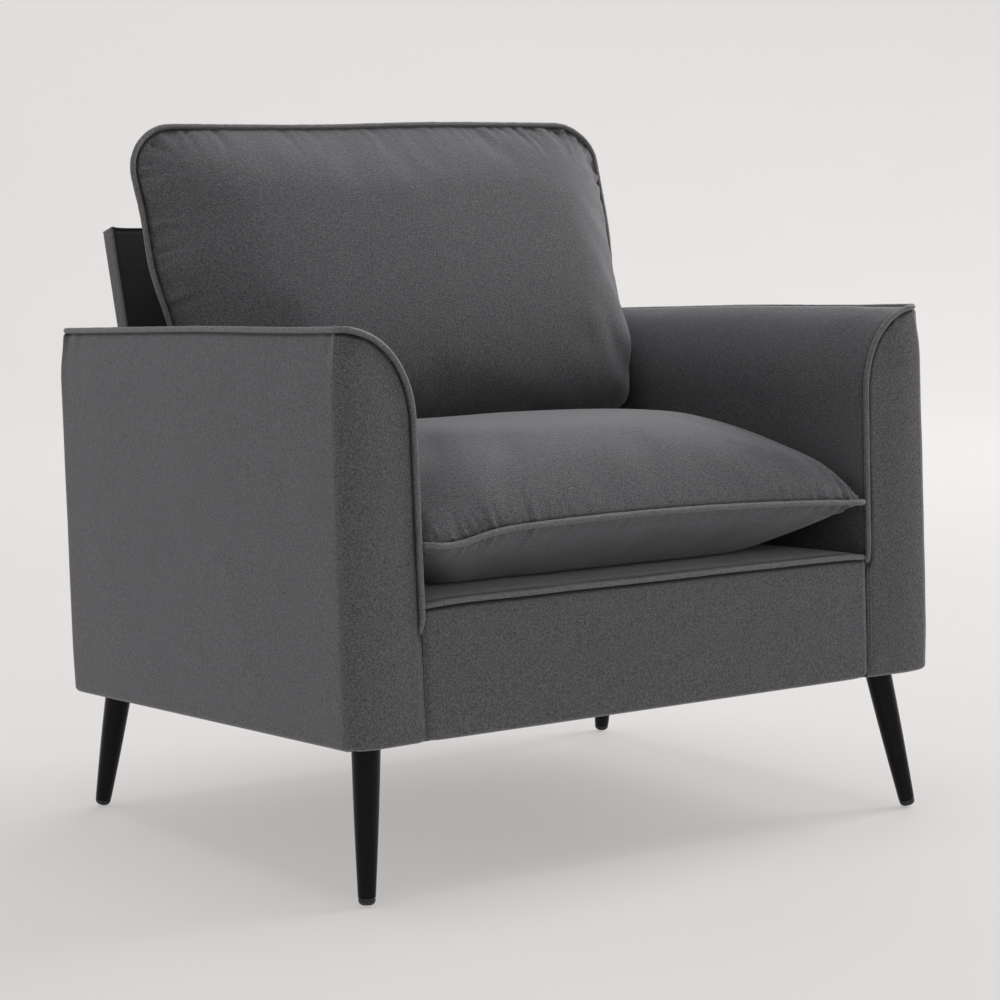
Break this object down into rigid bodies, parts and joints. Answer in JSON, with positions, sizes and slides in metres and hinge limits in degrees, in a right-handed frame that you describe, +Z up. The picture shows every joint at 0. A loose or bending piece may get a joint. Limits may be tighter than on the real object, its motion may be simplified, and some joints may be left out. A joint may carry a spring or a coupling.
{
  "type": "upholstered armchair",
  "caption": "Upholstered armchair with thin scroll-topped arms, a loose crowned seat cushion, a loose pillow back cushion, piped seams and splayed tapered black legs.",
  "frame": {"origin": "on the floor, at the middle of the chair's bounding box", "axes": "+X to the right of someone who looks at the chair from the front, +Y from the front to the back, +Z up"},
  "size_m": [0.802, 0.7026, 0.8172],
  "materials": {
    "cover_fabric": "matte",
    "welt_fabric": "matte",
    "foam": "matte",
    "fibre": "matte",
    "lining_cloth": "matte",
    "webbing": "matte",
    "black_wood": "satin",
    "softwood": "matte",
    "plywood": "matte",
    "hardboard": "matte",
    "glide_plastic": "matte",
    "spring_steel": "satin",
    "zinc_steel": "satin",
    "zip_tape": "matte",
    "zip_metal": "satin"
  },
  "bodies": {
    "chair": {"back_bottom_rail": "softwood", "back_inner_cover": "lining_cloth", "back_middle_rail": "softwood", "back_outer_cover": "cover_fabric", "back_pad": "foam", "back_stiles": "plywood", "back_top_rail": "softwood", "back_webbing": "webbing", "base_front_rail": "softwood", "base_rear_rail": "softwood", "base_side_rails": "softwood", "corner_blocks": "softwood", "deck_cover": "cover_fabric", "deck_liner": "lining_cloth", "deck_pad": "foam", "dust_cover": "lining_cloth", "frame_bolts": "zinc_steel", "frame_washers": "zinc_steel", "front_border_cover": "cover_fabric", "front_border_welt": "welt_fabric", "front_left_leg": "black_wood", "front_rail_pad": "foam", "front_right_leg": "black_wood", "left_arm_foam": "foam", "left_arm_inner_cover": "cover_fabric", "left_arm_inner_panel": "hardboard", "left_arm_leg_blocks": "softwood", "left_arm_outer_cover": "cover_fabric", "left_arm_outer_panel": "hardboard", "left_arm_profile_boards": "plywood", "left_arm_rails": "softwood", "left_arm_wadding": "fibre", "left_arm_welt": "welt_fabric", "leg_glides": "glide_plastic", "leg_studs": "zinc_steel", "rear_left_leg": "black_wood", "rear_right_leg": "black_wood", "right_arm_foam": "foam", "right_arm_inner_cover": "cover_fabric", "right_arm_inner_panel": "hardboard", "right_arm_leg_blocks": "softwood", "right_arm_outer_cover": "cover_fabric", "right_arm_outer_panel": "hardboard", "right_arm_profile_boards": "plywood", "right_arm_rails": "softwood", "right_arm_wadding": "fibre", "right_arm_welt": "welt_fabric", "seat_springs": "spring_steel", "spring_clips": "spring_steel", "tee_nuts": "zinc_steel"},
    "seat_cushion": {"seat_cushion_cover": "cover_fabric", "seat_cushion_foam": "foam", "seat_cushion_welt": "welt_fabric", "seat_cushion_zip": "zip_tape"},
    "back_cushion": {"back_cushion_cover": "cover_fabric", "back_cushion_fill": "fibre", "back_cushion_welt": "welt_fabric", "back_cushion_zip": "zip_tape"},
    "seat_zip_slider": {"seat_cushion_zip_slider": "zip_metal"},
    "back_zip_slider": {"back_cushion_zip_slider": "zip_metal"}
  },
  "joints": [
    {"name": "seat_cushion_slide", "type": "slide", "parent": "chair", "child": "seat_cushion", "axis": [0, -0.9992, 0.0388], "range_m": [0, 0.6]},
    {"name": "back_cushion_lift", "type": "slide", "parent": "chair", "child": "back_cushion", "axis": [0, 0.2761, 0.9611], "range_m": [0, 0.4]},
    {"name": "seat_zip", "type": "slide", "parent": "seat_cushion", "child": "seat_zip_slider", "axis": [1, 0, 0], "range_m": [0, 0.4]},
    {"name": "back_zip", "type": "slide", "parent": "back_cushion", "child": "back_zip_slider", "axis": [1, 0, 0], "range_m": [0, 0.4]}
  ]
}
